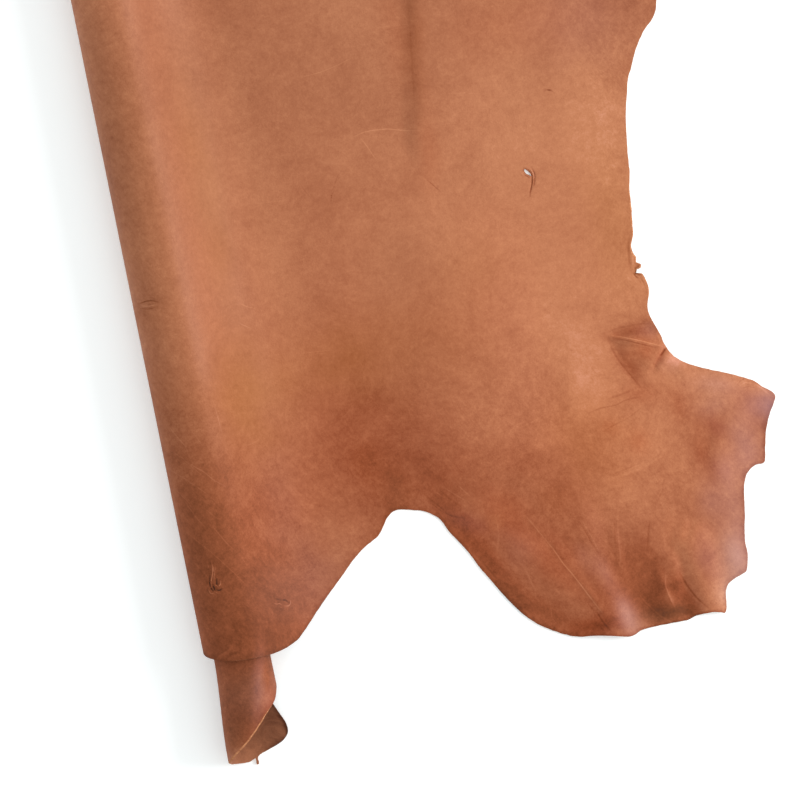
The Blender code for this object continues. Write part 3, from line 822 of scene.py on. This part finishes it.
def from_hex(colour):
    """An sRGB hex colour as linear red, green, blue and alpha."""
    parts = [int(colour[i:i + 2], 16) / 255 for i in (1, 3, 5)]
    return [c / 12.92 if c <= 0.04045 else ((c + 0.055) / 1.055) ** 2.4
            for c in parts] + [1.0]


def set_sockets(node, **values):
    """Link or set a node's sockets, by name or as _ and the socket's number."""
    for name, value in values.items():
        number = name[1:]
        socket = node.inputs[int(number) if number.isdigit() else name.replace("_", " ")]
        if isinstance(value, bpy.types.Node):
            value = value.outputs[0]
        if isinstance(value, bpy.types.NodeSocket):
            node.id_data.links.new(value, socket)
        else:
            socket.default_value = value


def add_node(material, kind, settings=None, **values):
    """One node of a material, with its settings and what its sockets take."""
    node = material.node_tree.nodes.new("ShaderNode" + kind)
    for name, value in (settings or {}).items():
        setattr(node, name, value)
    set_sockets(node, **values)
    return node


# waxed full grain leather, vegetable tanned and hot stuffed: the wax sinks dark
# where it lies thick and pulls up pale where the hide is bent or rubbed, over a
# fine pebbled grain with pores; a soft low gloss, as wax has. Its tone also carries
# the painted shade, highlights and sheen of the patches and marks above.
WAX_TONES = ((-0.6, "#280f06"), (-0.3, "#481f0a"), (0.0, "#6b310e"), (0.25, "#884524"),
             (0.5, "#9e5b39"), (0.75, "#b3704b"), (1.0, "#c78567"))
DARKEST = -0.6
grain = bpy.data.materials.new("waxed_full_grain")
grain.use_nodes = True
flat = add_node(grain, "UVMap", {"uv_map": "flat_pattern"})
tone_and_light_read = add_node(grain, "Attribute", {"attribute_name": "wax_tone_and_light"})
channels = add_node(grain, "SeparateColor", Color=tone_and_light_read)
loose_grain = tone_and_light_read.outputs["Alpha"]

# clouds from 110 mm down to 1 mm, the fine mottle of drum dyeing, and pores
clouds = add_node(grain, "TexNoise", Vector=flat, Scale=1000 / 110, Detail=7.0,
                  Roughness=0.86, Distortion=0.35)
mottle = add_node(grain, "TexNoise", Vector=flat, Scale=1000 / 9, Detail=3.0, Roughness=1.0,
                  Distortion=0.2)
combed = add_node(grain, "Mapping", {"vector_type": "TEXTURE"}, Vector=flat,
                  Rotation=(0.0, 0.0, math.radians(-60)), Scale=(0.03, 0.0035, 1.0))
strokes = add_node(grain, "TexNoise", Vector=combed, Scale=1.0, Detail=3.0, Roughness=0.8,
                   Distortion=0.5)
stroked = add_node(grain, "Math", {"operation": "MULTIPLY_ADD"}, _0=strokes, _1=0.18,
                   _2=-0.09)
stroked = add_node(grain, "Math", {"operation": "MULTIPLY"}, _0=stroked, _1=loose_grain)
pores = add_node(grain, "TexVoronoi", {"feature": "F1"}, Vector=flat, Scale=1000 / 9,
                 Randomness=1.0)
pore_kind = add_node(grain, "SeparateColor", Color=pores.outputs["Color"])
pore = add_node(grain, "MapRange", Value=pores, From_Min=0.0, From_Max=0.16, To_Min=1.0,
                To_Max=0.0)
pale_pore = add_node(grain, "MapRange", Value=pore_kind.outputs["Red"], From_Min=0.72,
                     From_Max=1.0, To_Min=0.0, To_Max=0.16)
dark_pore = add_node(grain, "MapRange", Value=pore_kind.outputs["Green"], From_Min=0.8,
                     From_Max=1.0, To_Min=0.0, To_Max=0.12)

tone = add_node(grain, "Math", {"operation": "ADD"}, _0=channels.outputs["Red"], _1=0.53)
tone = add_node(grain, "Math", {"operation": "ADD"}, _0=tone, _1=stroked)
for texture, amount, looser in ((clouds, 0.62, 0.36), (mottle, 0.42, 0.08)):
    strength = add_node(grain, "Math", {"operation": "MULTIPLY_ADD"}, _0=loose_grain,
                        _1=looser, _2=amount)
    centred = add_node(grain, "Math", {"operation": "SUBTRACT"}, _0=texture, _1=0.5)
    tone = add_node(grain, "Math", {"operation": "MULTIPLY_ADD"}, _0=centred, _1=strength,
                    _2=tone)
for kind, operation in ((pale_pore, "ADD"), (dark_pore, "SUBTRACT")):
    dot = add_node(grain, "Math", {"operation": "MULTIPLY"}, _0=pore, _1=kind)
    tone = add_node(grain, "Math", {"operation": operation}, _0=tone, _1=dot)

tone = add_node(grain, "MapRange", Value=tone, From_Min=DARKEST)
tan = add_node(grain, "ValToRGB", Fac=tone)
stops = tan.color_ramp.elements
while len(stops) < len(WAX_TONES):
    stops.new(0.5)
for stop, (place, colour) in zip(stops, WAX_TONES):
    stop.position = (place - DARKEST) / (1.0 - DARKEST)
    stop.color = from_hex(colour)
depth = add_node(grain, "Math", {"operation": "MULTIPLY_ADD"}, _0=channels.outputs["Green"],
                 _1=0.18, _2=1.0)
hue = add_node(grain, "Math", {"operation": "MULTIPLY_ADD"}, _0=channels.outputs["Green"],
               _1=-0.02, _2=0.5)
skin = add_node(grain, "HueSaturation", Color=tan, Hue=hue, Saturation=depth)
# whitish bloom, partly painted sheen, mixes towards lilac; where the bloom value is below 0 a
# painted golden highlight mixes in
for colour, strongest in (("#a794a4", 0.26), ("#b97f35", -0.34)):
    share = add_node(grain, "Math", {"operation": "MULTIPLY", "use_clamp": True},
                     _0=channels.outputs["Blue"], _1=strongest)
    mixed = add_node(grain, "Mix", {"data_type": "RGBA"}, _0=share, _6=skin,
                     _7=from_hex(colour))
    skin = mixed.outputs[2]

# relief: pebbles of 2.2 mm, drawn coarser than real ones so that they show, and
# the looser wrinkles of neck and belly, of 16 mm and finer
pebbles = add_node(grain, "TexVoronoi", {"feature": "SMOOTH_F1"}, Vector=flat,
                   Scale=1000 / 2.2, Smoothness=0.6)
wrinkles = add_node(grain, "TexNoise", Vector=flat, Scale=1000 / 16, Detail=4.0,
                    Roughness=0.62, Distortion=1.2)
wrinkled = add_node(grain, "Math", {"operation": "MULTIPLY"}, _0=wrinkles, _1=loose_grain)
relief = add_node(grain, "Bump", Strength=0.5, Distance=0.0009, Height=wrinkled)
relief = add_node(grain, "Bump", Strength=0.35, Distance=0.0003, Height=pebbles,
                  Normal=relief)
gloss = add_node(grain, "MapRange", Value=channels.outputs["Red"], From_Min=-0.3,
                 From_Max=-0.05, To_Min=0.8, To_Max=0.56)
set_sockets(grain.node_tree.nodes["Principled BSDF"], Base_Color=skin, Roughness=gloss,
            Normal=relief, Specular_IOR_Level=0.28)

# the flesh side: split fibres, brown and matt as suede, with a short nap that
# lies this way and that
flesh = bpy.data.materials.new("split_flesh_side")
flesh.use_nodes = True
flat = add_node(flesh, "UVMap", {"uv_map": "flat_pattern"})
nap = add_node(flesh, "TexNoise", Vector=flat, Scale=1000 / 30, Detail=6.0, Roughness=0.75,
               Distortion=0.6)
tone_and_light_read = add_node(flesh, "Attribute", {"attribute_name": "wax_tone_and_light"})
channels = add_node(flesh, "SeparateColor", Color=tone_and_light_read)
# the flesh takes the same tone, painted shade and all, over its nap
flesh_tone_and_shade = add_node(flesh, "Math", {"operation": "MULTIPLY_ADD"}, _0=channels.outputs["Red"],
                 _1=0.6, _2=nap)
suede = add_node(flesh, "ValToRGB", Fac=flesh_tone_and_shade)
for stop, place, colour in zip(suede.color_ramp.elements, (0.0, 0.7),
                               ("#4c2311", "#a3694a")):
    stop.position = place
    stop.color = from_hex(colour)
fibres = add_node(flesh, "TexNoise", Vector=flat, Scale=1000 / 2.5, Detail=3.0, Roughness=0.7)
relief = add_node(flesh, "Bump", Strength=0.6, Distance=0.0006, Height=fibres)
set_sockets(flesh.node_tree.nodes["Principled BSDF"], Base_Color=suede, Normal=relief,
            Roughness=0.95, Specular_IOR_Level=0.15, Sheen_Weight=0.15)

# the cut edge: raw fibres that the dye reached less, pale and matt
raw_edge = bpy.data.materials.new("raw_cut_edge")
raw_edge.use_nodes = True
flat = add_node(raw_edge, "UVMap", {"uv_map": "flat_pattern"})
strands = add_node(raw_edge, "TexNoise", Vector=flat, Scale=1000 / 4, Detail=4.0,
                   Roughness=0.8)
fibre = add_node(raw_edge, "ValToRGB", Fac=strands)
for stop, place, colour in zip(fibre.color_ramp.elements, (0.35, 0.65),
                               ("#8a5233", "#b87e56")):
    stop.position = place
    stop.color = from_hex(colour)
tone_and_light_read = add_node(raw_edge, "Attribute", {"attribute_name": "wax_tone_and_light"})
channels = add_node(raw_edge, "SeparateColor", Color=tone_and_light_read)
# where the tone is darkest the raw edge goes nearly black: painted shade at the slit's lips
# and the tear's notch, and the darker cut edge
darkened_edge_share = add_node(raw_edge, "MapRange", Value=channels.outputs["Red"], From_Min=-0.48,
                  From_Max=-0.62, To_Min=0.0, To_Max=0.85)
fibre = add_node(raw_edge, "Mix", {"data_type": "RGBA"}, _0=darkened_edge_share, _6=fibre,
                 _7=from_hex("#2b160c"))
relief = add_node(raw_edge, "Bump", Strength=0.5, Distance=0.0005, Height=strands)
set_sockets(raw_edge.node_tree.nodes["Principled BSDF"], Base_Color=fibre.outputs[2],
            Normal=relief, Roughness=0.9, Specular_IOR_Level=0.2)

for finish in (grain, flesh, raw_edge):
    leather_mesh.materials.append(finish)

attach(leather, "root")
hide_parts("leather_side")

# floor
# A plain white floor of opal acrylic, lit a little from below as in a product
# studio, far wider than the hide, so that no edge shows.
bpy.ops.mesh.primitive_plane_add(size=14.0, location=(0.0, 0.0, -0.0006))
floor = bpy.context.object
floor.name = "floor"
white = bpy.data.materials.new("lit_opal_acrylic")
white.use_nodes = True
set_sockets(white.node_tree.nodes["Principled BSDF"], Base_Color=from_hex("#f4fafa"),
            Roughness=0.9, Specular_IOR_Level=0.2, Emission_Color=from_hex("#ffffff"),
            Emission_Strength=0.19)
floor.data.materials.append(white)

# light
# A large soft light low down on the belly side, under an even white surround.
world = bpy.data.worlds.new("white_surround")
world.use_nodes = True
set_sockets(world.node_tree.nodes["Background"], Color=from_hex("#ffffff"), Strength=0.88)
bpy.context.scene.world = world
KEY_AZIMUTH = -1.5
KEY_ELEVATION = 26.0
KEY_DISTANCE = 3.4
KEY_AIM = (-0.1, -0.65, 0.0)
key = bpy.data.lights.new("key_softbox", "AREA")
key.energy = 110.0
key.size = 2.2
key_object = bpy.data.objects.new("key_softbox", key)
azimuth, elevation = math.radians(KEY_AZIMUTH), math.radians(KEY_ELEVATION)
way = Vector((math.cos(azimuth) * math.cos(elevation),
              math.sin(azimuth) * math.cos(elevation), math.sin(elevation)))
key_object.location = Vector(KEY_AIM) + KEY_DISTANCE * way
key_object.rotation_euler = way.to_track_quat("Z", "Y").to_euler()
bpy.context.scene.collection.objects.link(key_object)

# camera
# Straight above the shoulder and turned so that the backbone leans to the left,
# as in the photo. One metre shows across the frame.
CAMERA_HEIGHT = 20.0
FIELD = 1.0
VIEW_MIDDLE = (-0.1002, -0.6516)
VIEW_TURN = 11.48
camera = bpy.data.cameras.new("camera")
camera.sensor_width = 36.0
camera.lens = 36.0 * CAMERA_HEIGHT / FIELD
camera_object = bpy.data.objects.new("camera", camera)
camera_object.location = (*VIEW_MIDDLE, CAMERA_HEIGHT)
camera_object.rotation_euler = (0.0, 0.0, -math.radians(VIEW_TURN))
bpy.context.scene.collection.objects.link(camera_object)
bpy.context.scene.camera = camera_object
bpy.context.scene.view_settings.view_transform = "Standard"
